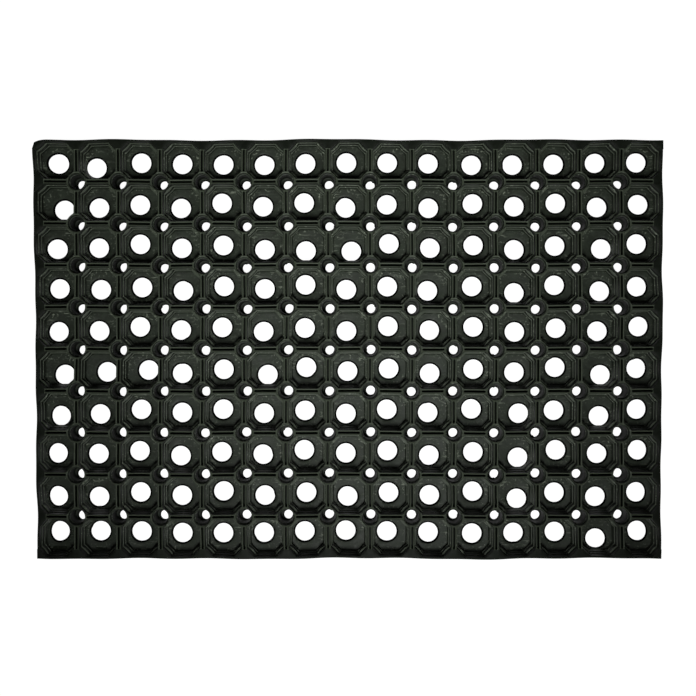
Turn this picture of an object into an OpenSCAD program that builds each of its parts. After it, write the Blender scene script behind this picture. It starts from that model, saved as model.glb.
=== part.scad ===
// Hollow scraper door mat: one compression-moulded rubber panel, lying face up.
// The frame has its origin under the middle of the mat, with +X along its length and +Z up.
// Every well is an eight-sided pocket with stepped walls, and a hollow stud stands where four wells meet.

/* [Mat] */
// Number of wells along the length
cells_x = 15; // [4:1:20]
// Number of wells across the width
cells_y = 10; // [4:1:14]
// Distance between the middles of neighbouring wells
pitch = 40; // [36:0.5:48]
// Height of the mat from the ground to the tread
mat_h = 16; // [14:0.5:24]

/* [Walls] */
// Half the thickness of a wall between two wells, at the tread
wall_half = 2.45; // [2:0.05:2.8]
// How much one terrace widens a wall on each side
wall_step = 1.1; // [0.5:0.05:1.2]
// Distance along x plus y from a stud's middle to its corner face, at the tread
corner_reach = 12.7; // [12:0.1:13]
// How much one terrace pushes a corner face out, along x plus y
corner_step = 2.65; // [1.5:0.05:2.7]
// Width of the groove that splits a wall into two ribs
groove_w = 1.7; // [1:0.1:2]
// Distance from a stud's middle to the end of a groove
groove_end = 9.8; // [9.7:0.1:12]
// Height of a groove's bottom above the ground
groove_z = 10.5; // [5:0.5:12]

/* [Floor] */
// Thickness of the floor web
floor_t = 1.5; // [1:0.1:2]
// Gap under the floor web, where water drains away
under_floor = 0.8; // [0.5:0.1:1.5]
// Diameter of the drain hole punched in a well's floor
drain_d = 18.8; // [12:0.1:19]
// Columns of drain holes that the punch takes in its first stroke
stroke_columns = 10; // [1:1:20]
// Mean miss of the first stroke towards -X
drain_shift = 2.4; // [0:0.1:3]
// Mean miss of all drain holes towards -Y
drain_drop = 0.5; // [0:0.1:1]
// Miss along Y of the even columns one way and of the odd ones the other way
drain_swing = 1.8; // [0:0.1:2.5]
// Scatter of single drain holes, either way
drain_scatter = 1; // [0:0.1:1.5]

/* [Studs] */
// Half the width of a stud across its flats
stud_half = 9.2; // [9:0.1:9.6]
// Diameter of a stud's bore at the tread
bore_top_d = 16; // [12:0.1:16.4]
// Diameter of a stud's bore just above its bottom web
bore_low_d = 12.4; // [11.9:0.1:13]
// Diameter of the hole punched in a stud's bottom web
pin_hole_d = 8.8; // [6:0.1:9]
// Thickness of a stud's bottom web
web_t = 1.2; // [0.8:0.1:2]
// Diameter of a stud's foot, which stands on the ground
foot_d = 15.4; // [14.4:0.1:16]

/* [Hidden] */
$fn = 48;
// Runs a cut clear of the faces that it opens through
over = 1;
rubber = "#2d302e";
mat_x = cells_x * pitch;
mat_y = cells_y * pitch;
floor_top = under_floor + floor_t;
// Heights where one stage of the stepped walls ends and the next one starts, from the floor up
stage_z = [floor_top, floor_top + 0.31 * (mat_h - floor_top), floor_top + 0.64 * (mat_h - floor_top), mat_h];
stages = [0, 1, 2];
top_stage = 2;
// The punched hole in a stud's bottom misses the middle by this much
pin_miss = [1.2, -0.9];
// The drain holes that are plainly off, judged by eye: column, row, miss along X, miss along Y
mis_strikes = [
    [0, 3, 0, -5],
    [0, 4, 4, -5],
    [1, 4, 5, -2],
    [2, 4, 5, 0],
    [5, 4, 1, -5],
    [0, 8, 4, -5],
    [1, 9, -5, -4],
    [6, 7, -2, -5],
    [7, 7, 2, -5],
    [9, 6, -4, -3],
    [11, 1, 3, -5],
    [11, 2, 4, -5],
    [11, 3, 5, -2],
    [11, 6, 0, -5],
    [13, 0, -1, -4],
    [13, 3, 3, -5],
    [13, 4, 4, -5],
    [13, 6, 3, -4],
    [13, 7, 5, -3]
];
// Swing of the front and the back row of drain holes, as shares of drain_swing
front_swing = 1.7;
back_swing = 0.3;
// The scatter's wave along X and along Y: radians per column, per row, and at the first hole
scatter_x = [12.9, 4.1, 1.7];
scatter_y = [7.3, 9.7, 0.6];
// Degrees in a radian
degrees = 57.2958;

function two_digits(n) = str(n < 10 ? "0" : "", n);

// Middle of a column or row of wells, counted from 0
function well_x(i) = (i + 0.5) * pitch - mat_x / 2;
function well_y(j) = (j + 0.5) * pitch - mat_y / 2;
// Line between two columns or rows, counted from 1
function line_x(i) = i * pitch - mat_x / 2;
function line_y(j) = j * pitch - mat_y / 2;
// Half thickness of a wall, and reach of a stud's corner face, at one stage
function wall_at(k) = wall_half + (top_stage - k) * wall_step;
function reach_at(k) = corner_reach + (top_stage - k) * corner_step;
function flare_at(k) = reach_at(k) - stud_half;
// Half the length of a rib between two studs, and of its parallel stretch at one stage
rib_half = pitch / 2 - stud_half;
function straight_at(k) = wall_at(k) + pitch / 2 - reach_at(k);

// How far the drain punch missed a well's middle: a listed miss, or a swing with a little scatter
function struck(i, j) = [for (m = mis_strikes) if (m[0] == i && m[1] == j) [m[2], m[3]]];
function inner_swing(i) = i > 0 && i % 2 == 0 ? 1 : -1;
function swing(i, j) = j == 0 ? front_swing : j == cells_y - 1 ? back_swing : inner_swing(i);
function scatter(wave, i, j) = drain_scatter * sin(degrees * (wave[0] * i + wave[1] * j + wave[2]));
function usual_miss(i, j) = [
    scatter(scatter_x, i, j) - (i < stroke_columns ? drain_shift : 0),
    scatter(scatter_y, i, j) - drain_drop + drain_swing * swing(i, j)
];
function drain_miss(i, j) = len(struck(i, j)) > 0 ? struck(i, j)[0] : usual_miss(i, j);

// Half the length and width of the floor web inside the rim's foot
web_x = mat_x / 2 - wall_at(0);
web_y = mat_y / 2 - wall_at(0);

// One well's share of a rim's inner edge, from its left end to its right end
function rim_cell(k) = [
    [-pitch / 2 + flare_at(k), stud_half],
    [-rib_half, flare_at(k)],
    [-straight_at(k), wall_at(k)],
    [straight_at(k), wall_at(k)],
    [rib_half, flare_at(k)],
    [pitch / 2 - flare_at(k), stud_half]
];

// Draws its children once for each stage of the stepped walls, with $k as the stage
module staged() {
    for ($k = stages) {
        translate([0, 0, stage_z[$k]])
            linear_extrude(stage_z[$k + 1] - stage_z[$k])
                children();
    }
}

// One rib pair between two studs, along X, with the groove down its middle
module rib() {
    difference() {
        staged() rib_plan($k);
        translate([groove_end - pitch / 2, -groove_w / 2, groove_z])
            cube([pitch - 2 * groove_end, groove_w, mat_h]);
    }
}

module rib_plan(k) {
    end = [rib_half, flare_at(k)];
    side = [straight_at(k), wall_at(k)];
    polygon([
        [-end.x, -end.y], [-side.x, -side.y], [side.x, -side.y], [end.x, -end.y],
        [end.x, end.y], [side.x, side.y], [-side.x, side.y], [-end.x, end.y]
    ]);
}

// One hollow stud, with the corner walls of the four wells around it
module stud() {
    difference() {
        union() {
            staged() stud_plan(flare_at($k));
            cylinder(d = foot_d, h = floor_top);
        }
        translate([0, 0, web_t])
            cylinder(d1 = bore_low_d, d2 = bore_top_d, h = mat_h - web_t);
        translate([pin_miss.x, pin_miss.y, -over])
            cylinder(d = pin_hole_d, h = web_t + 2 * over);
    }
}

module stud_plan(flat) {
    polygon([
        [stud_half, -flat], [stud_half, flat], [flat, stud_half], [-flat, stud_half],
        [-stud_half, flat], [-stud_half, -flat], [-flat, -stud_half], [flat, -stud_half]
    ]);
}

// A corner of a web tile: the middle of a drain hole, or a point on the rim's foot past the last one
function inside(n, count) = max(0, min(count - 1, n));
function drain_at(i, j) = [well_x(i), well_y(j)] + drain_miss(i, j);
function web_corner(i, j) = [
    i < 0 ? -web_x : i >= cells_x ? web_x : drain_at(i, inside(j, cells_y)).x,
    j < 0 ? -web_y : j >= cells_y ? web_y : drain_at(inside(i, cells_x), j).y
];

// The web tile around one crossing, out to the four drain holes at its corners
module web_tile(i, j) {
    around = [[i - 1, j - 1], [i, j - 1], [i, j], [i - 1, j]];
    foot_stands = i > 0 && i < cells_x && j > 0 && j < cells_y;
    difference() {
        linear_extrude(floor_t)
            polygon([for (c = around) web_corner(c.x, c.y)]);
        for (c = around) {
            if (c.x >= 0 && c.x < cells_x && c.y >= 0 && c.y < cells_y) {
                translate([web_corner(c.x, c.y).x, web_corner(c.x, c.y).y, -over])
                    cylinder(d = drain_d, h = floor_t + 2 * over);
            }
        }
        if (foot_stands) {
            translate([line_x(i), line_y(j), -over])
                cylinder(d = foot_d, h = floor_t + 2 * over);
        }
    }
}

// The floor web's tiles on one line of studs, or along the foot of a long rim
module floor_row(j) {
    color(rubber)
        translate([0, 0, under_floor])
            for (i = [0 : cells_x]) web_tile(i, j);
}

// The ribs on one line along the mat
module long_rib(j) {
    color(rubber)
        for (i = [0 : cells_x - 1]) {
            translate([well_x(i), line_y(j), 0]) rib();
        }
}

// The ribs on one line across the mat
module cross_rib(i) {
    color(rubber)
        for (j = [0 : cells_y - 1]) {
            translate([line_x(i), well_y(j), 0]) rotate([0, 0, 90]) rib();
        }
}

// The studs on one line along the mat
module stud_row(j) {
    color(rubber)
        for (i = [1 : cells_x - 1]) {
            translate([line_x(i), line_y(j), 0]) stud();
        }
}

// A long rim along X with its outer face on y = 0 and half-stud pads along its inner edge
module long_rim() {
    inner = [for (i = [cells_x - 1 : -1 : 0]) i];
    color(rubber) {
        translate([-mat_x / 2, 0, 0]) cube([mat_x, wall_at(0), floor_top]);
        staged()
            polygon(concat(
                [[-mat_x / 2, 0], [mat_x / 2, 0], [mat_x / 2, stud_half]],
                [for (i = inner, n = [5 : -1 : 0]) rim_cell($k)[n] + [well_x(i), 0]],
                [[-mat_x / 2, stud_half]]
            ));
    }
}

// A short rim between the two long ones, also drawn along X, and turned into place below
module short_rim() {
    inner = [for (j = [cells_y - 1 : -1 : 0]) j];
    half = mat_y / 2 - stud_half;
    foot_half = mat_y / 2 - wall_at(0);
    last = 6 * cells_y - 2;
    color(rubber) {
        translate([-foot_half, 0, 0]) cube([2 * foot_half, wall_at(0), floor_top]);
        staged() {
            edge = [for (j = inner, n = [5 : -1 : 0]) rim_cell($k)[n] + [well_y(j), 0]];
            polygon(concat([[-half, 0], [half, 0]], [for (n = [1 : last]) edge[n]]));
        }
    }
}

module rim_front() {
    translate([0, -mat_y / 2, 0]) long_rim();
}

module rim_back() {
    rotate([0, 0, 180]) rim_front();
}

module rim_left() {
    translate([-mat_x / 2, 0, 0]) rotate([0, 0, -90]) short_rim();
}

module rim_right() {
    rotate([0, 0, 180]) rim_left();
}

for (j = [1 : cells_y + 1]) {
    floor_row(j - 1);
}
for (j = [1 : cells_y - 1]) {
    long_rib(j);
    stud_row(j);
}
for (i = [1 : cells_x - 1]) {
    cross_rib(i);
}
rim_front();
rim_back();
rim_left();
rim_right();
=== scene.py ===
"""Hollow scraper door mat, pressed from black rubber.

Every region of the moulding is its own closed mesh: rows of the floor web with their punched drain
holes, grooved double ribs, hollow studs and the rim with its half-stud pads. They share one smooth
warp, so that the mat lies a little out of true as a real one does and its regions still meet.
Lengths are in millimetres, and Moulding.finish turns them into metres at the end.
"""

import math

import bmesh
import bpy
import numpy as np
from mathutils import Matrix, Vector


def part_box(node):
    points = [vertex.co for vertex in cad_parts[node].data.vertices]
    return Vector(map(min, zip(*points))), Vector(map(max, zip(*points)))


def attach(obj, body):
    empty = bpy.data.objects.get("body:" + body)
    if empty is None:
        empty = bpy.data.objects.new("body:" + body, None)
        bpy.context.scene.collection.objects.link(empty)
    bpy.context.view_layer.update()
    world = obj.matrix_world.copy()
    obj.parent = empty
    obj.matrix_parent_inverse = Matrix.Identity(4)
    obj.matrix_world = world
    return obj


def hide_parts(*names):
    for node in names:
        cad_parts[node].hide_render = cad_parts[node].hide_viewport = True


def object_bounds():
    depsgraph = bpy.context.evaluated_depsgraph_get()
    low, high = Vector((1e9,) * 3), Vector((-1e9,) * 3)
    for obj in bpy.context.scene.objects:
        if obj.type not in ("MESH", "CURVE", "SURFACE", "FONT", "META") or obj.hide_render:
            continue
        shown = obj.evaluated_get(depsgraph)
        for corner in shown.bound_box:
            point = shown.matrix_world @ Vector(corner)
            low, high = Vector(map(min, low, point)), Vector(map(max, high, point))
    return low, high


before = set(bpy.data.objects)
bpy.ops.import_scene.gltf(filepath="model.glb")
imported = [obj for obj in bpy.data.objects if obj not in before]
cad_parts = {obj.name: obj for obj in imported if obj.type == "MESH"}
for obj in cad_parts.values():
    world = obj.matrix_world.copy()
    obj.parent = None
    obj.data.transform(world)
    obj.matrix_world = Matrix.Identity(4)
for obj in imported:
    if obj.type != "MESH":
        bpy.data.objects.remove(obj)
cad_low, cad_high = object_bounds()
CAD_BOX = [[float(v) for v in cad_low], [float(v) for v in cad_high]]

# ---------------------------------------------------------------- the mat's plan, from the frame

NODES = list(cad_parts)
ROWS = sum(name.startswith("long_rib_") for name in NODES) + 1
COLUMNS = sum(name.startswith("cross_rib_") for name in NODES) + 1
LENGTH = 1000 * (CAD_BOX[1][0] - CAD_BOX[0][0])
WIDTH = 1000 * (CAD_BOX[1][1] - CAD_BOX[0][1])
HEIGHT = 1000 * CAD_BOX[1][2]
PITCH = LENGTH / COLUMNS
FLOOR_LOW = 1000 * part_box("floor_row_01")[0][2]
FLOOR_TOP = 1000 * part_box("floor_row_01")[1][2]

# ---------------------------------------------------------------- sizes of the moulding

STUD_HALF = 9.2        # half the square that a stud's region takes at a crossing
RING_R = 8.85          # outside of the ring at the top of a stud
MOUTH_R = 7.95         # mouth of a stud's bore
WEB_Z = 1.2            # top of the web that closes a bore's bottom
PIN_HOLE_R = 4.4       # hole punched in that web
PIN_MISS = (1.2, -0.9) # how far that hole misses the middle
FOOT_R = 7.6           # a stud's foot
GROOVE_HALF = 0.85     # half the groove between two ribs
GROOVE_REACH = 10.2    # half its length
TIP_LENGTH = 0.6       # length of its rounded end
TIP_HALF = 0.4         # its half width at the very tip, as a share of the full half width
DRAIN_R = 9.4          # drain hole punched in a well's floor
STROKE_COLUMNS = 10    # columns of drain holes in the punch's first stroke
DRAIN_SHIFT = 2.4      # mean miss of that stroke towards -X
DRAIN_DROP = 0.5       # mean miss of all drain holes towards -Y
DRAIN_SWING = 1.8      # miss along Y of even columns one way, of odd ones and the first the other
FRONT_SWING = 1.7      # swing of the front row, as a share of DRAIN_SWING
BACK_SWING = 0.3       # swing of the back row
DRAIN_SCATTER = 1.0    # scatter of single drain holes
SCATTER_X = (12.9, 4.1, 1.7)    # its wave along X: radians per column, per row, at the first hole
SCATTER_Y = (7.3, 9.7, 0.6)     # its wave along Y
SUNK = 0.3             # how far walls reach into the floor web, so that no crack shows
RIB_LEAN = 0.12        # how far a rib's top leans to one side at most
RIM_DRAFT = 0.35       # how far the rim's outer face leans in from bottom to top
CORNER_PULL = 2.6      # how far the back left corner of the mat is pulled in, each way
CORNER_SPAN = 13       # how far along the mat that pull reaches
LIFT = 0.12            # how much too high the tread lies at most

# The drain holes that are plainly off, judged one by one: column, row, and how far they missed
MIS_STRIKES = {
    (0, 3): (0, -5),
    (0, 4): (4, -5),
    (1, 4): (5, -2),
    (2, 4): (5, 0),
    (5, 4): (1, -5),
    (0, 8): (4, -5),
    (1, 9): (-5, -4),
    (6, 7): (-2, -5),
    (7, 7): (2, -5),
    (9, 6): (-4, -3),
    (11, 1): (3, -5),
    (11, 2): (4, -5),
    (11, 3): (5, -2),
    (11, 6): (0, -5),
    (13, 0): (-1, -4),
    (13, 3): (3, -5),
    (13, 4): (4, -5),
    (13, 6): (3, -4),
    (13, 7): (5, -3),
}

# The stepped flank of every wall, from the floor up to the tread. For each height above the ground:
# half the wall's thickness, the reach of a stud's corner face along x plus y, how far that face swells
# out in its middle, and how near it comes to the round ring.
FLANK = [
    (FLOOR_TOP - SUNK, 6.0, 18.3, -0.9, 0),
    (FLOOR_TOP + 0.15, 5.5, 17.9, -0.9, 0),
    (FLOOR_TOP + 0.5, 5.1, 17.6, -0.8, 0),
    (FLOOR_TOP + 1.1, 4.8, 17.2, -0.6, 0),
    (FLOOR_TOP + 2.0, 4.6, 16.8, -0.3, 0),
    (6.2, 4.45, 16.5, 0, 0),
    (6.45, 4.35, 16.3, 0.2, 0),
    (6.57, 3.7, 15.1, 0.5, 0),
    (6.8, 3.55, 14.85, 0.6, 0),
    (10.6, 3.42, 14.4, 0.8, 0),
    (10.85, 3.3, 14.2, 0.9, 0),
    (10.97, 2.7, 13.2, 0.5, 0.7),
    (11.2, 2.58, 12.9, 0.2, 0.95),
    (11.6, 2.54, 12.8, 0, 1),
    (14.0, 2.48, 12.6, 0, 1),
    (15.4, 2.42, 12.3, 0, 1),
    (15.75, 2.36, 12.2, 0, 1),
    (15.94, 2.2, 12.05, 0, 1),
    (16.0, 2.0, 11.9, 0, 1),
]
# Rounding by height, of the ring's outer edge and of the rim's outer edges
RING_EDGE = {15.75: 0.04, 15.94: 0.16, 16.0: 0.34}
RIM_EDGE = {0.0: 0.3, 15.75: 0.06, 15.94: 0.22, 16.0: 0.45}
LEDGES = [(6.4, 6.7), (10.8, 11.0)]     # heights between which the two terraces lie
FOOT_Z = 3.5           # below this height the foot of a wall gathers bloom
# The tread above TREAD_Z is painted paler, for shoe wear and painted highlight
TREAD_Z = 15.5         # above this height shoes rub
# The tread slopes down into a groove or a bore. By height: how much wider it is than further down
LIP = [(15.82, 0.5), (15.6, 0.28), (15.3, 0.08), (14.9, 0)]
GROOVE_DEEP = [(13.0, -0.04), (10.8, -0.12), (10.5, -0.3)]
# Two points of a groove's rounded end: how far from its tip, and their share of its half width
GROOVE_TIP = [(0.3, 0.97), (0.1, 0.75)]
# The bore below its mouth, by height: its radius, and its mark: grey dust where positive, painted shade
# that darkens the wall where negative
BORE = [
    (12.7, 7.66, -0.3),
    (12.5, 7.55, 0.3),
    (12.3, 6.98, 1.0),
    (12.0, 6.85, -0.75),
    (7.0, 6.6, -0.85),
    (3.5, 6.4, -0.85),
    (1.9, 6.25, -0.6),
    (1.35, 6.1, -0.6),
    (WEB_Z, 5.9, -0.35),
]
# The hole punched in a stud's bottom, from above: height, and how much wider the hole is there
PIN_EDGE = [(WEB_Z - 0.04, 0.3), (WEB_Z - 0.2, 0), (0.1, -0.05), (0, 0.05)]
# A stud's foot from the ground up: radius and height
FOOT_EDGE = [(FOOT_R - 0.5, 0), (FOOT_R - 0.15, 0.12), (FOOT_R, 0.45), (FOOT_R, FLOOR_TOP - SUNK)]


# ---------------------------------------------------------------- small tools


def srgb(hex_colour):
    """An sRGB hex colour as linear RGBA."""
    parts = [int(hex_colour[i:i + 2], 16) / 255 for i in (1, 3, 5)]
    return [c / 12.92 if c <= 0.04045 else ((c + 0.055) / 1.055) ** 2.4 for c in parts] + [1.0]


def two_digits(n):
    """A number as the names of nodes write it."""
    return f"{n:02d}"


def well_x(i):
    """Middle of a column of wells, counted from 0."""
    return (i + 0.5) * PITCH - LENGTH / 2


def well_y(j):
    """Middle of a row of wells, counted from 0."""
    return (j + 0.5) * PITCH - WIDTH / 2


def line_x(i):
    """Line between two columns of wells, counted from 1."""
    return i * PITCH - LENGTH / 2


def line_y(j):
    """Line between two rows of wells, counted from 1."""
    return j * PITCH - WIDTH / 2


def step(low, high, x):
    """0 below low, 1 above high, and a smooth ramp between them."""
    t = np.clip((x - low) / (high - low), 0, 1)
    return t * t * (3 - 2 * t)


def scatter(wave, i, j):
    """The small scatter of a drain hole along one axis."""
    return DRAIN_SCATTER * math.sin(wave[0] * i + wave[1] * j + wave[2])


def drain_miss(i, j):
    """How far the drain punch missed a well's middle, by the same rule as the mat's plain shape."""
    if (i, j) in MIS_STRIKES:
        return MIS_STRIKES[i, j]
    swing = 1 if i > 0 and i % 2 == 0 else -1
    if j == 0:
        swing = FRONT_SWING
    elif j == ROWS - 1:
        swing = BACK_SWING
    shift = DRAIN_SHIFT if i < STROKE_COLUMNS else 0
    miss_x = scatter(SCATTER_X, i, j) - shift
    miss_y = scatter(SCATTER_Y, i, j) - DRAIN_DROP + DRAIN_SWING * swing
    return (miss_x, miss_y)


def edge_shift(along, left):
    """How far a short edge of the mat lies outside its true line, by the place along it."""
    share = (along + WIDTH / 2) / WIDTH
    # From front to back the left edge runs from 2.4 mm in to 2.2 mm out, the right one from 2.8 mm in to 0
    drift = -2.4 + 4.6 * share ** 1.5 if left else -2.8 + 2.8 * share
    wave = 0.4 * np.sin(along / 17 + 2 * left) + 0.25 * np.sin(along / 7.3 + 1)
    return drift + wave


def warp(p):
    """The whole mat lies slightly out of true: p is an n by 3 array in millimetres."""
    x, y, z = p[:, 0].copy(), p[:, 1].copy(), p[:, 2].copy()
    out = p.copy()
    # Soft waves of up to 0.3 mm, 80 to 400 mm long
    out[:, 0] += 0.3 * np.sin(y / 41 + 0.7) + 0.18 * np.sin(y / 13 + x / 57)
    out[:, 1] += 0.3 * np.sin(x / 47 + 1.9) + 0.2 * np.sin(x / 15 - y / 61)
    rim_x = step(LENGTH / 2 - PITCH / 2, LENGTH / 2, np.abs(x))
    rim_y = step(WIDTH / 2 - PITCH / 2, WIDTH / 2, np.abs(y))
    out[:, 0] += rim_x * np.where(x < 0, -edge_shift(y, True), edge_shift(y, False))
    # The long edges wave by up to 0.8 mm
    out[:, 1] += rim_y * np.sign(y) * (0.5 * np.sin(x / 31 + y / 90) + 0.3 * np.sin(x / 9.7))
    corner = np.hypot(x + LENGTH / 2, y - WIDTH / 2)
    pull = CORNER_PULL * np.clip(1 - corner / CORNER_SPAN, 0, 1) ** 2
    out[:, 0] += pull
    out[:, 1] -= pull
    lift = 0.5 + 0.5 * np.sin(x / 83 + 1.3) * np.sin(y / 71 + 0.4)
    out[:, 2] += LIFT * lift * np.clip(z / HEIGHT, 0, 1)
    return out


class Moulding:
    """Collects rings of points and the faces between them, for one closed mesh."""

    def __init__(self):
        self.points = []
        self.faces = []
        self.marks = []
        self.wear_and_highlight_marks = []
        self.count = 0

    def ring(self, points, mark=0.0, wear_and_painted_highlight=0.0):
        """Adds points and returns their numbers.

        mark is how dusty (up to 1) they are, or how much painted shade darkens them (down to -1), and the
        last argument how much paler they are painted, for shoe wear and painted highlight (0 to 1).
        """
        points = np.asarray(points, float)
        first = self.count
        self.points.append(points)
        self.marks.append(np.broadcast_to(mark, len(points)).astype(float))
        self.wear_and_highlight_marks.append(np.full(len(points), wear_and_painted_highlight))
        self.count += len(points)
        return np.arange(first, self.count)

    def bridge(self, a, b):
        """Quads between two rings of the same length. Facing out where a lies below b, anticlockwise."""
        a2, b2 = np.roll(a, -1), np.roll(b, -1)
        self.faces.append(np.stack([a, a2, b2, b], axis=1))

    def across(self, a, b, flip=False):
        """Quads between two rows of points that face each other."""
        quads = np.stack([a[:-1], a[1:], b[1:], b[:-1]], axis=1)
        self.faces.append(quads[:, ::-1] if flip else quads)

    def finish(self, name, *nodes):
        """Makes the mesh and its object, and tells the frame which nodes it replaces."""
        points = warp(np.concatenate(self.points)) / 1000
        faces = np.concatenate(self.faces)
        mesh = bpy.data.meshes.new(name)
        mesh.from_pydata(points.tolist(), [], faces.tolist())
        # The first layer holds grey dust where positive and painted shade where negative; the second how
        # much paler the tread and ledges are painted, for shoe wear and painted highlight
        for label, values in (("bloom_and_painted_shade", self.marks), ("wear_and_painted_highlight", self.wear_and_highlight_marks)):
            layer = mesh.attributes.new(label, "FLOAT", "POINT")
            layer.data.foreach_set("value", np.concatenate(values).astype(np.float32))
        # Turns every face outwards
        shell = bmesh.new()
        shell.from_mesh(mesh)
        bmesh.ops.recalc_face_normals(shell, faces=shell.faces)
        shell.to_mesh(mesh)
        shell.free()
        mesh.polygons.foreach_set("use_smooth", np.ones(len(mesh.polygons), bool))
        mesh.set_sharp_from_angle(angle=math.radians(40))
        mesh.materials.append(RUBBER)
        mesh.validate()
        mesh.update()
        piece = bpy.data.objects.new(name, mesh)
        bpy.context.scene.collection.objects.link(piece)
        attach(piece, "root")
        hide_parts(*nodes)


# ---------------------------------------------------------------- material


def add(tree, kind, links=None, **settings):
    """Adds a node to a tree, sets its properties and inputs, and links its inputs."""
    node = tree.nodes.new(kind)
    for key, value in settings.items():
        if key.startswith("in_"):
            socket = int(key[3:]) if key[3:].isdigit() else key[3:].replace("_", " ")
            node.inputs[socket].default_value = value
        else:
            setattr(node, key, value)
    for key, source in (links or {}).items():
        tree.links.new(source, node.inputs[key])
    return node


def pressed_rubber():
    """Carbon-black rubber cured in a steel mould: matt, nearly black, with a dry grey dust that blooms out
    of it.

    The grey dust gathers on ledges and in the web's hollows. Painted shade darkens hole edges, bore and
    groove walls, upright faces and the rim's outer face to near black, and the tread and ledges are
    painted paler, for shoe wear on the tread and painted highlight on the tread and ledges.
    """
    material = bpy.data.materials.new("compression_moulded_rubber")
    material.use_nodes = True
    tree = material.node_tree
    shader = tree.nodes["Principled BSDF"]
    shader.inputs["IOR"].default_value = 1.5
    place = add(tree, "ShaderNodeTexCoord").outputs["Object"]
    # The mark: grey dust where positive, painted shade where negative
    mark = add(tree, "ShaderNodeAttribute", attribute_name="bloom_and_painted_shade").outputs["Fac"]

    # Patches of slightly browner and greener black, a hand's breadth across
    patch = add(tree, "ShaderNodeTexNoise", {"Vector": place}, in_Scale=14, in_Detail=3)
    base = add(tree, "ShaderNodeMix", {0: patch.outputs["Fac"]}, data_type="RGBA",
               in_6=srgb("#2a2a22"), in_7=srgb("#252e25"))
    # Cloudy mottling, 6 to 10 mm across, where the stock flowed together
    cloud = add(tree, "ShaderNodeTexNoise", {"Vector": place}, in_Scale=130, in_Detail=5,
                in_Roughness=0.62, in_Distortion=0.6)
    cloud_range = add(tree, "ShaderNodeMapRange", {"Value": cloud.outputs["Fac"]},
                      in_1=0.36, in_2=0.68, in_3=0.0, in_4=1.0)
    mottled = add(tree, "ShaderNodeMix", {0: cloud_range.outputs[0], 6: base.outputs[2]},
                  data_type="RGBA", in_7=srgb("#353c31"))
    # The tread is painted a paler grey, for shoe wear and painted highlight, and the ledges too, for
    # painted highlight
    wear_and_painted_highlight = add(tree, "ShaderNodeAttribute", attribute_name="wear_and_painted_highlight").outputs["Fac"]
    rubbed_and_highlit = add(tree, "ShaderNodeMix", {0: wear_and_painted_highlight, 6: mottled.outputs[2]},
                 data_type="RGBA", in_7=srgb("#555c4e"))
    # Dry bloom: grey specks of 1 to 2 mm and scuffs of 6 mm along X, which gather in patches of 15 mm
    speck = add(tree, "ShaderNodeTexNoise", {"Vector": place}, in_Scale=430, in_Detail=1)
    speck_range = add(tree, "ShaderNodeMapRange", {"Value": speck.outputs["Fac"]},
                      in_1=0.58, in_2=0.7, in_3=0.0, in_4=0.8)
    drawn = add(tree, "ShaderNodeVectorMath", {0: place}, operation="MULTIPLY", in_1=(110, 620, 620))
    scuff = add(tree, "ShaderNodeTexNoise", {"Vector": drawn.outputs[0]}, in_Scale=1, in_Detail=1)
    scuff_range = add(tree, "ShaderNodeMapRange", {"Value": scuff.outputs["Fac"]},
                      in_1=0.63, in_2=0.74, in_3=0.0, in_4=0.8)
    flecks = add(tree, "ShaderNodeMath", {0: speck_range.outputs[0], 1: scuff_range.outputs[0]},
                 operation="MAXIMUM")
    gather = add(tree, "ShaderNodeTexNoise", {"Vector": place}, in_Scale=65, in_Detail=2)
    gather_range = add(tree, "ShaderNodeMapRange", {"Value": gather.outputs["Fac"]},
                       in_1=0.42, in_2=0.62, in_3=0.1, in_4=1.0)
    dust_mark = add(tree, "ShaderNodeMath", {0: mark}, operation="MAXIMUM", in_1=0.0)
    dust_field = add(tree, "ShaderNodeMath", {0: gather_range.outputs[0], 1: flecks.outputs[0]},
                     operation="MULTIPLY")
    dust = add(tree, "ShaderNodeMath", {0: dust_field.outputs[0], 1: dust_mark.outputs[0]},
               operation="MULTIPLY", use_clamp=True)
    dusted = add(tree, "ShaderNodeMix", {0: dust.outputs[0], 6: rubbed_and_highlit.outputs[2]},
                 data_type="RGBA", in_7=srgb("#a0a696"))
    # Painted shade: where the mark is negative the colour goes to near black, on hole edges, bore and
    # groove walls, upright faces and the rim's outer face
    painted_shade_mask = add(tree, "ShaderNodeMath", {0: mark}, operation="MULTIPLY", in_1=-1.0, use_clamp=True)
    colour = add(tree, "ShaderNodeMix", {0: painted_shade_mask.outputs[0], 6: dusted.outputs[2]},
                 data_type="RGBA", in_7=srgb("#030403"))
    tree.links.new(colour.outputs[2], shader.inputs["Base Color"])
    # Under the painted shade the specular is turned down too, so that it stays near black
    shine = add(tree, "ShaderNodeMapRange", {"Value": painted_shade_mask.outputs[0]},
                in_1=0.0, in_2=1.0, in_3=0.4, in_4=0.03)
    tree.links.new(shine.outputs[0], shader.inputs["Specular IOR Level"])

    rough = add(tree, "ShaderNodeMapRange", {"Value": cloud.outputs["Fac"]},
                in_1=0.3, in_2=0.7, in_3=0.48, in_4=0.66)
    tree.links.new(rough.outputs[0], shader.inputs["Roughness"])

    # Surface relief: mould blasting of about 0.4 mm and soft flow waves of 5 mm
    grain = add(tree, "ShaderNodeTexNoise", {"Vector": place}, in_Scale=1500, in_Detail=2)
    grain_bump = add(tree, "ShaderNodeBump", {"Height": grain.outputs["Fac"]},
                     in_Strength=0.25, in_Distance=0.0001)
    flow_bump = add(tree, "ShaderNodeBump",
                    {"Height": cloud.outputs["Fac"], "Normal": grain_bump.outputs[0]},
                    in_Strength=0.5, in_Distance=0.0006)
    tree.links.new(flow_bump.outputs[0], shader.inputs["Normal"])
    return material


RUBBER = pressed_rubber()


# ---------------------------------------------------------------- ribs

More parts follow.
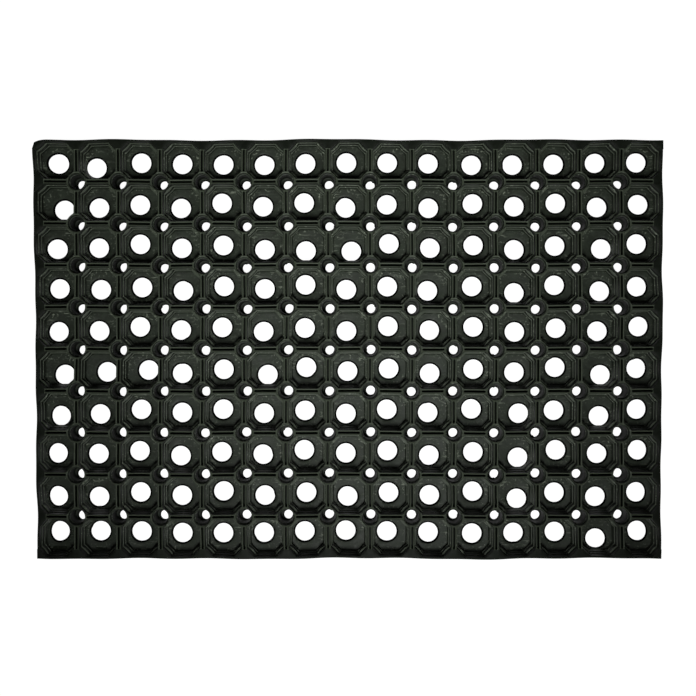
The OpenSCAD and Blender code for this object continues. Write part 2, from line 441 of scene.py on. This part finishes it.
RIB_HALF = PITCH / 2 - STUD_HALF    # half a rib's length between two studs
STRAIGHT_POINTS = 7                 # points along the straight stretch of a rib's long side
SIDE_POINTS = STRAIGHT_POINTS + 6   # points along the whole side
SEAM_PASSES = 12                    # passes that settle where a corner face meets its rib


def corner_curve(reach, half, swell, skew):
    """Points of a stud's corner face in plan, from the stud's middle: skew is x minus y."""
    push = swell * (1 - (skew / (reach - 2 * half)) ** 2) / math.sqrt(2)
    return (reach + skew) / 2 + push, (reach - skew) / 2 + push


def seam_skew(reach, half, swell):
    """Where a corner face crosses the plane that a stud and its rib share."""
    skew = 2 * STUD_HALF - reach
    for _ in range(SEAM_PASSES):
        x, _ = corner_curve(reach, half, swell, skew)
        skew += 2 * (STUD_HALF - x)
    return skew


def rib_ring(reach, flare, straight, half, z, bend):
    """One level of a rib lying along X: its two long sides, with a bend near each end."""
    bend_u, bend_v = bend
    middle = np.linspace(-straight, straight, STRAIGHT_POINTS)
    u = np.concatenate([[-reach], -bend_u[::-1], middle, bend_u, [reach]])
    v = np.concatenate([[flare], bend_v[::-1], np.full(STRAIGHT_POINTS, half), bend_v, [flare]])
    height = np.full(SIDE_POINTS, z)
    low = np.stack([u, -v, height], axis=1)
    high = np.stack([u[::-1], v[::-1], height], axis=1)
    return np.concatenate([low, high])


def place_ring(points, x, y, turned):
    """Moves a ring to its place, after a quarter turn where the rib runs along Y."""
    if turned:
        points = np.stack([-points[:, 1], points[:, 0], points[:, 2]], axis=1)
    return points + [x, y, 0]


def on_ledge(z):
    """Whether a height is on one of the two terraces."""
    return any(low < z < high for low, high in LEDGES)


def dust_and_painted_shade_at(z):
    """Ledges and the foot of a wall hold grey dust, and painted shade darkens the upright faces between
    them.
    """
    if on_ledge(z):
        return 0.8
    return 0.6 if z < FOOT_Z else -0.55


def wear_and_highlight_at(z):
    """How much paler a height is painted: the tread fully, for shoe wear and painted highlight, and the
    ledges a little less, for painted highlight.
    """
    if on_ledge(z):
        return 0.7
    return 1.0 if z > TREAD_Z else 0.0


def rib(mould, x, y, turned, rng):
    """A double rib between two studs, with the deep groove down its middle."""
    lean = rng.uniform(-RIB_LEAN, RIB_LEAN)
    rings = []
    for z, half, reach, swell, _ in FLANK:
        sway = lean * max(z - FLOOR_TOP, 0) / HEIGHT
        skew = seam_skew(reach, half, swell)
        _, flare = corner_curve(reach, half, swell, skew)
        end = reach - 2 * half
        bend_x, bend_y = corner_curve(reach, half, swell, np.linspace(end, skew, 4)[1:3])
        straight = half + PITCH / 2 - reach
        level = rib_ring(RIB_HALF, flare, straight, half, z, (PITCH / 2 - bend_x, bend_y))
        level[1:-1, 1] += sway
        level[SIDE_POINTS - 1:SIDE_POINTS + 1, 1] -= sway
        rings.append(mould.ring(place_ring(level, x, y, turned), dust_and_painted_shade_at(z), wear_and_highlight_at(z)))
    back, share = np.array(GROOVE_TIP).T
    for z, ease in LIP + GROOVE_DEEP:
        half = GROOVE_HALF + ease
        reach = GROOVE_REACH + ease
        bend = (reach - back, half * share)
        level = rib_ring(reach, half * TIP_HALF, reach - TIP_LENGTH, half, z, bend)
        level[:, 1] += lean * z / HEIGHT
        # Grey dust on the lip, and painted shade that darkens the groove's walls
        mark = 0.3 if z > TREAD_Z else -0.6
        rings.append(mould.ring(place_ring(level, x, y, turned), mark, wear_and_highlight_at(z)))
    for a, b in zip(rings, rings[1:]):
        mould.bridge(a, b)
    first, last = rings[0], rings[-1]
    mould.across(first[:SIDE_POINTS], first[:SIDE_POINTS - 1:-1], flip=True)
    mould.across(last[:SIDE_POINTS], last[:SIDE_POINTS - 1:-1])


def make_ribs():
    """One piece for every line of ribs along the mat and across it."""
    for j in range(1, ROWS):
        rng = np.random.default_rng(100 + j)
        mould = Moulding()
        for i in range(COLUMNS):
            rib(mould, well_x(i), line_y(j), False, rng)
        mould.finish(f"ribs_along_{two_digits(j)}", f"long_rib_{two_digits(j)}")
    for i in range(1, COLUMNS):
        rng = np.random.default_rng(200 + i)
        mould = Moulding()
        for j in range(ROWS):
            rib(mould, line_x(i), well_y(j), True, rng)
        mould.finish(f"ribs_across_{two_digits(i)}", f"cross_rib_{two_digits(i)}")


# ---------------------------------------------------------------- studs

SEAM_STEPS = 3      # points along each face that a stud shares with a rib
FACE_STEPS = 8      # points along each free corner face
ARC_GAP = 0.02      # radians between the end of such a face and the ring's free arc
PIN_SCATTER = 0.22  # scatter of the bottom holes
PIN_ROUGH = 0.1     # roughness of their edges
PIN_MARGIN = 0.45   # least width of the web between such a hole and the bore's wall
WEB_SHARE = 0.45    # where the web has one more ring of points, from the hole to the wall
EDGE_WAVES = (2, 3, 5, 8, 13)   # how often each wave of a punched edge runs round the hole
NIB_CHANCE = 0.25   # how often a punched edge has a torn nib
NIB_DEPTH = 8       # how far the nib stands in, in roughnesses of the edge
NIB_WIDTH = 0.2     # half its width, in radians
FULL_TURN = 6.28    # a turn in radians, as the range of a random start


def stud_outline(half, reach, swell, roundness, ease):
    """A stud's plan at one level: four faces shared with ribs and four corner faces between them."""
    skew = seam_skew(reach, half, swell)
    _, flare = corner_curve(reach, half, swell, skew)
    seam_y = np.linspace(-flare, flare, SEAM_STEPS + 1)[:-1]
    seam = np.stack([np.full(SEAM_STEPS, STUD_HALF), seam_y], axis=1)
    t = np.linspace(0, 1, FACE_STEPS + 1)[:-1]
    face = np.stack(corner_curve(reach, half, swell, skew * (1 - 2 * t)), axis=1)
    start = math.asin(min(flare / RING_R, 1)) + ARC_GAP
    angle = start + (math.pi / 2 - 2 * start) * t
    arc = (RING_R - ease) * np.stack([np.cos(angle), np.sin(angle)], axis=1)
    face[1:] += (arc - face)[1:] * roundness
    quarter = np.concatenate([seam, face])
    turned = [quarter]
    for _ in range(3):
        quarter = np.stack([-quarter[:, 1], quarter[:, 0]], axis=1)
        turned.append(quarter)
    return np.concatenate(turned)


def at_height(plan, z):
    """Points of a plan, all at one height."""
    return np.concatenate([plan, np.full((len(plan), 1), z)], axis=1)


def ragged(rng, angles, depth):
    """A punched edge's deviation by angle: a few soft waves and now and then a torn nib."""
    out = np.zeros(len(angles))
    for n in EDGE_WAVES:
        out += depth / n ** 0.5 * rng.uniform(-1, 1) * np.sin(n * angles + rng.uniform(0, FULL_TURN))
    if rng.random() < NIB_CHANCE:
        away = np.angle(np.exp(1j * (angles - rng.uniform(0, FULL_TURN))))
        out -= NIB_DEPTH * depth * np.exp(-((away / NIB_WIDTH) ** 2))
    return out


def stud(mould, x, y, rng):
    """A hollow stud: stepped corner walls, ring, conical bore, bottom web with its hole, and foot."""
    middle = np.array([x, y, 0.0])
    rings = []
    for z, half, reach, swell, roundness in FLANK:
        plan = stud_outline(half, reach, swell, roundness, RING_EDGE.get(z, 0))
        rings.append(mould.ring(at_height(plan, z) + middle, dust_and_painted_shade_at(z), wear_and_highlight_at(z)))
    top = stud_outline(*FLANK[-1][1:], RING_EDGE[FLANK[-1][0]])
    angles = np.arctan2(top[:, 1], top[:, 0])
    ray = np.stack([np.cos(angles), np.sin(angles)], axis=1)
    # On the lip, grey dust above the tread's edge and painted shade below it
    for z, ease in LIP:
        level = at_height(ray * (MOUTH_R + ease), z) + middle
        rings.append(mould.ring(level, 0.3 if z > TREAD_Z else -0.3, wear_and_highlight_at(z)))
    # The bore's wall gets painted shade where BORE's mark is negative, grey dust where positive
    for z, radius, mark in BORE:
        rings.append(mould.ring(at_height(ray * radius, z) + middle, mark))
    miss = np.array(PIN_MISS) + rng.normal(0, PIN_SCATTER, 2)
    radius = PIN_HOLE_R + ragged(rng, angles, PIN_ROUGH)
    hole = ray * radius[:, None] + miss
    low_bore = BORE[-1][1]
    out = np.hypot(hole[:, 0], hole[:, 1]) / (low_bore - PIN_MARGIN)
    hole /= np.maximum(out, 1)[:, None]
    between = ray * low_bore * WEB_SHARE + hole * (1 - WEB_SHARE)
    # The web round the bottom hole and the hole's edge get painted shade, which darkens them to near black
    rings.append(mould.ring(at_height(between, WEB_Z - 0.01) + middle, -0.5))
    for z, grow in PIN_EDGE:
        rings.append(mould.ring(at_height(hole + ray * grow, z) + middle, -1.0))
    for radius, z in FOOT_EDGE:
        rings.append(mould.ring(at_height(ray * radius, z) + middle, 0))
    for a, b in zip(rings, rings[1:]):
        mould.bridge(a, b)
    mould.bridge(rings[-1], rings[0])


def make_studs():
    """One piece for every row of studs."""
    for j in range(1, ROWS):
        rng = np.random.default_rng(300 + j)
        mould = Moulding()
        for i in range(1, COLUMNS):
            stud(mould, line_x(i), line_y(j), rng)
        mould.finish(f"studs_{two_digits(j)}", f"stud_row_{two_digits(j)}")


# ---------------------------------------------------------------- floor web

SIDE_STEPS = 10     # points along one side of a well's share of the web
NOTCH_STEPS = 4     # points round a stud foot's seat in one corner
CORNER_EASE = 0.3   # rounding of a corner where no stud foot stands
WEB_RINGS = [0.0, 0.15, 0.35, 0.55, 0.75, 0.9, 1.0]
EDGE_BAND = 1.8     # width of the edge that the punch dragged down
# That edge, from below: how far outside the hole, its height, and its mark, where -1 is full painted shade
# that darkens the edge to near black
HOLE_EDGE = [
    (0.06, FLOOR_LOW, -1),
    (0, FLOOR_LOW + 0.1, -1),
    (0, FLOOR_TOP - 1.0, -1),
    (0.15, FLOOR_TOP - 0.8, -1),
    (0.6, FLOOR_TOP - 0.6, -1),
    (1.45, FLOOR_TOP - 0.36, -1),
]
WELL_FLOOR = PITCH / 2 - FLANK[0][1]
RIM_LAP = 0.6       # how far the web reaches into the rim's foot
DRAIN_ROUGH = 0.05  # roughness of a drain hole's edge
WEB_TILT = 0.003    # how much a well's floor slopes
DISH_DEPTH = 0.25   # how far a well's floor lies below the web's top in the middle
DISH_RISE = 0.5     # how far it climbs from there to the walls
DISH_DIAGONAL = 1.45    # how much further than its sides a well's corners are, along x plus y
FRONT_BLOOM = 0.45  # bloom in the front half of a well, as a share of that in its back half
BARE_BLOOM = 0.2    # bloom near the drain hole, as a share of that by the walls


def cell_outline(left, right, low, high, seats):
    """A well's share of the web: a square whose corners make room for the stud feet.

    left, right, low and high are its sides, and seats says for each corner, anticlockwise from the
    low left one, whether a stud foot stands there.
    """
    corners = [(left, low), (right, low), (right, high), (left, high)]
    along = [(1, 0), (0, 1), (-1, 0), (0, -1)]
    points = []
    for k, (corner, seat) in enumerate(zip(corners, seats)):
        forward, back = np.array(along[k], float), np.array(along[k - 1], float)
        corner = np.array(corner, float)
        for n in range(NOTCH_STEPS):
            a = math.pi / 2 * n / NOTCH_STEPS
            swing = -back * math.cos(a) + forward * math.sin(a)
            points.append(corner + swing * (FOOT_R if seat else CORNER_EASE))
        start = corner + forward * (FOOT_R if seat else CORNER_EASE)
        following = np.array(corners[(k + 1) % 4], float)
        end = following - forward * (FOOT_R if seats[(k + 1) % 4] else CORNER_EASE)
        for n in range(SIDE_STEPS):
            points.append(start + (end - start) * n / SIDE_STEPS)
    return np.array(points)


def web_cell(mould, i, j, rng):
    """One well's floor with its drain hole."""
    inset = FLANK[0][1] - RIM_LAP
    cx, cy = well_x(i), well_y(j)
    left = -PITCH / 2 + (inset if i == 0 else 0)
    right = PITCH / 2 - (inset if i == COLUMNS - 1 else 0)
    low = -PITCH / 2 + (inset if j == 0 else 0)
    high = PITCH / 2 - (inset if j == ROWS - 1 else 0)
    inner_low, inner_high = j > 0, j < ROWS - 1
    inner_left, inner_right = i > 0, i < COLUMNS - 1
    seats = [inner_low and inner_left, inner_low and inner_right,
             inner_high and inner_right, inner_high and inner_left]
    outline = cell_outline(left, right, low, high, seats)
    miss = np.array(drain_miss(i, j))
    away = outline - miss
    angles = np.arctan2(away[:, 1], away[:, 0])
    even = angles[0] + np.unwrap(angles - angles[0])
    ray = np.stack([np.cos(even), np.sin(even)], axis=1)
    hole = miss + ray * (DRAIN_R + ragged(rng, even, DRAIN_ROUGH))[:, None]
    place = np.array([cx, cy])
    tilt = rng.normal(0, WEB_TILT, 2)

    def top_z(plan):
        """Height of the dished floor."""
        reach = np.maximum(np.abs(plan[:, 0]), np.abs(plan[:, 1]))
        diagonal = (np.abs(plan[:, 0]) + np.abs(plan[:, 1])) / DISH_DIAGONAL
        rise = step(0.55, 1.05, np.maximum(reach, diagonal) / WELL_FLOOR)
        return FLOOR_TOP - DISH_DEPTH + DISH_RISE * rise + plan @ tilt

    rings = []
    # The drain hole's edge gets painted shade, which darkens it to near black
    for grow, z, mark in HOLE_EDGE:
        rings.append(mould.ring(at_height(hole + ray * grow + place, z), mark))
    for share in WEB_RINGS:
        plan = hole + ray * EDGE_BAND + (outline - hole - ray * EDGE_BAND) * share
        # Bloom thickens from 10 to 15 mm from the middle, and towards the back of the well
        back = FRONT_BLOOM + (1 - FRONT_BLOOM) * step(-6, 8, plan[:, 1])
        mark = BARE_BLOOM + (1 - BARE_BLOOM) * step(10, 15, np.hypot(plan[:, 0], plan[:, 1])) * back
        ring = np.concatenate([plan + place, top_z(plan)[:, None]], axis=1)
        rings.append(mould.ring(ring, mark))
    low_edge = mould.ring(at_height(outline + place, FLOOR_LOW), 0)
    for a, b in zip(rings[::-1], rings[-2::-1]):
        mould.bridge(a, b)
    mould.bridge(low_edge, rings[-1])
    mould.bridge(rings[0], low_edge)


def make_web():
    """One piece for every row of wells. The last one also stands for the web along the back rim."""
    for j in range(ROWS):
        rng = np.random.default_rng(400 + j)
        mould = Moulding()
        for i in range(COLUMNS):
            web_cell(mould, i, j, rng)
        rows = [j + 1] if j < ROWS - 1 else [j + 1, j + 2]
        mould.finish(f"web_{two_digits(j + 1)}", *[f"floor_row_{two_digits(n)}" for n in rows])


# ---------------------------------------------------------------- rim

PAD_STEPS = 3       # points along half a pad's top
SLOPE_STEPS = 6     # points along its corner face
WALL_STEPS = 6      # points along half the wall between two pads
PARTING_Z = 1.2     # height of the mould's parting line, where flash is left
FLASH_HEIGHT = 0.9  # how far up and down the flash tapers off
FLASH_SPIKE = 0.9   # longest single spike of flash


def rim_half_cell(half, reach, swell, at_corner):
    """Half a pitch of a rim from a pad's middle, as places along it and how deep the rim is there.

    The short rims end at the mat's corner pads, and begin where those pads stop.
    """
    skew = seam_skew(reach, half, swell)
    _, flare = corner_curve(reach, half, swell, skew)
    first = -skew if at_corner else skew
    face_skew = np.linspace(first, 2 * half - reach, SLOPE_STEPS + 1)
    face_depth, face_along = corner_curve(reach, half, swell, face_skew)
    pad = np.linspace(0, flare, PAD_STEPS + 1)[:0 if at_corner else -1]
    wall = np.linspace(reach - half, PITCH / 2, WALL_STEPS + 1)
    along = np.concatenate([pad, face_along[:-1], wall])
    depth = np.concatenate([np.full(len(pad), STUD_HALF), face_depth[:-1], np.full(len(wall), half)])
    return along, depth


def rim_line(half, reach, swell, cells, short):
    """Places along a whole rim, and its inner edge's distance from the outline, at one level."""
    alongs, depths = [], []
    for k in range(cells):
        along, depth = rim_half_cell(half, reach, swell, short and k == 0)
        alongs.append(along + k * PITCH)
        depths.append(depth)
        along, depth = rim_half_cell(half, reach, swell, short and k == cells - 1)
        keep = slice(1, None if k == cells - 1 else -1)
        alongs.append((k + 1) * PITCH - along[::-1][keep])
        depths.append(depth[::-1][keep])
    return np.concatenate(alongs) - cells * PITCH / 2, np.concatenate(depths)


def rim(name, node, cells, side_distance, quarter_turns, short):
    """One side of the rim, drawn along X with its outer face towards -Y and then turned into place."""
    rng = np.random.default_rng(500 + quarter_turns)
    mould = Moulding()
    levels = [(0.0, *FLANK[0][1:4])] + [row[:4] for row in FLANK]
    outer, inner = [], []
    base_along, _ = rim_line(*FLANK[-1][1:4], cells, short)
    # Flash is a thin skirt of uneven width, with a spike here and there
    flash = 0.25 + 0.25 * np.sin(base_along / 6.1) + 0.2 * np.sin(base_along / 2.3 + 1)
    flash += rng.random(len(base_along)) ** 8 * FLASH_SPIKE
    for z, half, reach, swell in levels:
        along, depth = rim_line(half, reach, swell, cells, short)
        ease = RIM_EDGE.get(z, 0.0)
        out_along = base_along.copy()
        if not short:
            for line in (along, out_along):
                line[0] += ease
                line[-1] -= ease
        skirt = flash * math.exp(-(((z - PARTING_Z) / FLASH_HEIGHT) ** 2))
        draft = RIM_DRAFT * (z / HEIGHT)
        height = np.full(len(along), z)
        out = np.stack([out_along, np.full(len(along), ease + draft) - skirt, height], axis=1)
        inn = np.stack([along, depth, height], axis=1)
        # The rim's outer face gets painted shade that darkens it; its inner face grey dust and painted
        # shade by height
        for rows, points, mark in ((outer, out, -0.6), (inner, inn, dust_and_painted_shade_at(z) if z > 0 else 0)):
            points = points + [0, -side_distance, 0]
            a = quarter_turns * math.pi / 2
            turn = np.array([[math.cos(a), -math.sin(a)], [math.sin(a), math.cos(a)]])
            points[:, :2] = points[:, :2] @ turn.T
            rows.append(mould.ring(points, mark, wear_and_highlight_at(z) * (mark > 0)))
    for k in range(len(levels) - 1):
        mould.across(outer[k], outer[k + 1])
        mould.across(inner[k], inner[k + 1], flip=True)
        start = [outer[k][0], inner[k][0], inner[k + 1][0], outer[k + 1][0]]
        end = [outer[k][-1], inner[k][-1], inner[k + 1][-1], outer[k + 1][-1]]
        mould.faces.append(np.array([start]))
        mould.faces.append(np.array([end]))
    mould.across(outer[0], inner[0], flip=True)
    mould.across(outer[-1], inner[-1])
    mould.finish(name, node)


def make_rim():
    """The four sides of the rim."""
    rim("rim_wall_front", "rim_front", COLUMNS, WIDTH / 2, 0, False)
    rim("rim_wall_right", "rim_right", ROWS, LENGTH / 2, 1, True)
    rim("rim_wall_back", "rim_back", COLUMNS, WIDTH / 2, 2, False)
    rim("rim_wall_left", "rim_left", ROWS, LENGTH / 2, 3, True)


# ---------------------------------------------------------------- studio

# In metres
TABLE_HALF = 15.0           # half the light table's side
CAMERA_RISE = 0.7           # the camera's height above the tread
CAMERA_OFF = (-0.00105, 0.00114)    # how far it stands off the mat's middle


def studio_floor():
    """A wide light table, which reads as plain white around the mat and through its holes."""
    material = bpy.data.materials.new("frosted_acrylic_light_table")
    material.use_nodes = True
    shader = material.node_tree.nodes["Principled BSDF"]
    shader.inputs["Base Color"].default_value = srgb("#7c7d7c")
    shader.inputs["Roughness"].default_value = 0.6
    shader.inputs["Emission Color"].default_value = srgb("#ffffff")
    shader.inputs["Emission Strength"].default_value = 1.0
    half = TABLE_HALF
    corners = [(-half, -half, 0), (half, -half, 0), (half, half, 0), (-half, half, 0)]
    mesh = bpy.data.meshes.new("table_top")
    mesh.from_pydata(corners, [], [(0, 1, 2, 3)])
    mesh.materials.append(material)
    table = bpy.data.objects.new("table_top", mesh)
    bpy.context.scene.collection.objects.link(table)


def area_light(name, place, target, size, spread, power):
    """A rectangular soft light that faces its target. The spread is in degrees."""
    light = bpy.data.lights.new(name, "AREA")
    light.spread = math.radians(spread)
    light.shape = "RECTANGLE"
    light.size, light.size_y = size
    light.energy = power
    light.color = (0.95, 1.0, 0.95)
    lamp = bpy.data.objects.new(name, light)
    lamp.location = place
    lamp.rotation_euler = (Vector(target) - Vector(place)).to_track_quat("-Z", "Y").to_euler()
    bpy.context.scene.collection.objects.link(lamp)


def make_studio():
    """The light table, one soft light, a dim room and the camera."""
    studio_floor()
    area_light("key_softbox", (0.01, -0.5, 1.15), (0.0, 0.22, 0), (0.25, 0.4), 54, 1.1)
    world = bpy.data.worlds.new("studio_room")
    world.use_nodes = True
    background = world.node_tree.nodes["Background"]
    background.inputs["Color"].default_value = srgb("#f6f8f4")
    background.inputs["Strength"].default_value = 0.02
    scene = bpy.context.scene
    scene.world = world
    scene.view_settings.view_transform = "Standard"

    camera = bpy.data.cameras.new("camera")
    camera.sensor_width = 36
    camera.lens = 38.0
    view = bpy.data.objects.new("camera", camera)
    view.location = (*CAMERA_OFF, HEIGHT / 1000 + CAMERA_RISE)
    scene.collection.objects.link(view)
    scene.camera = view


make_studio()
make_web()
make_ribs()
make_studs()
make_rim()
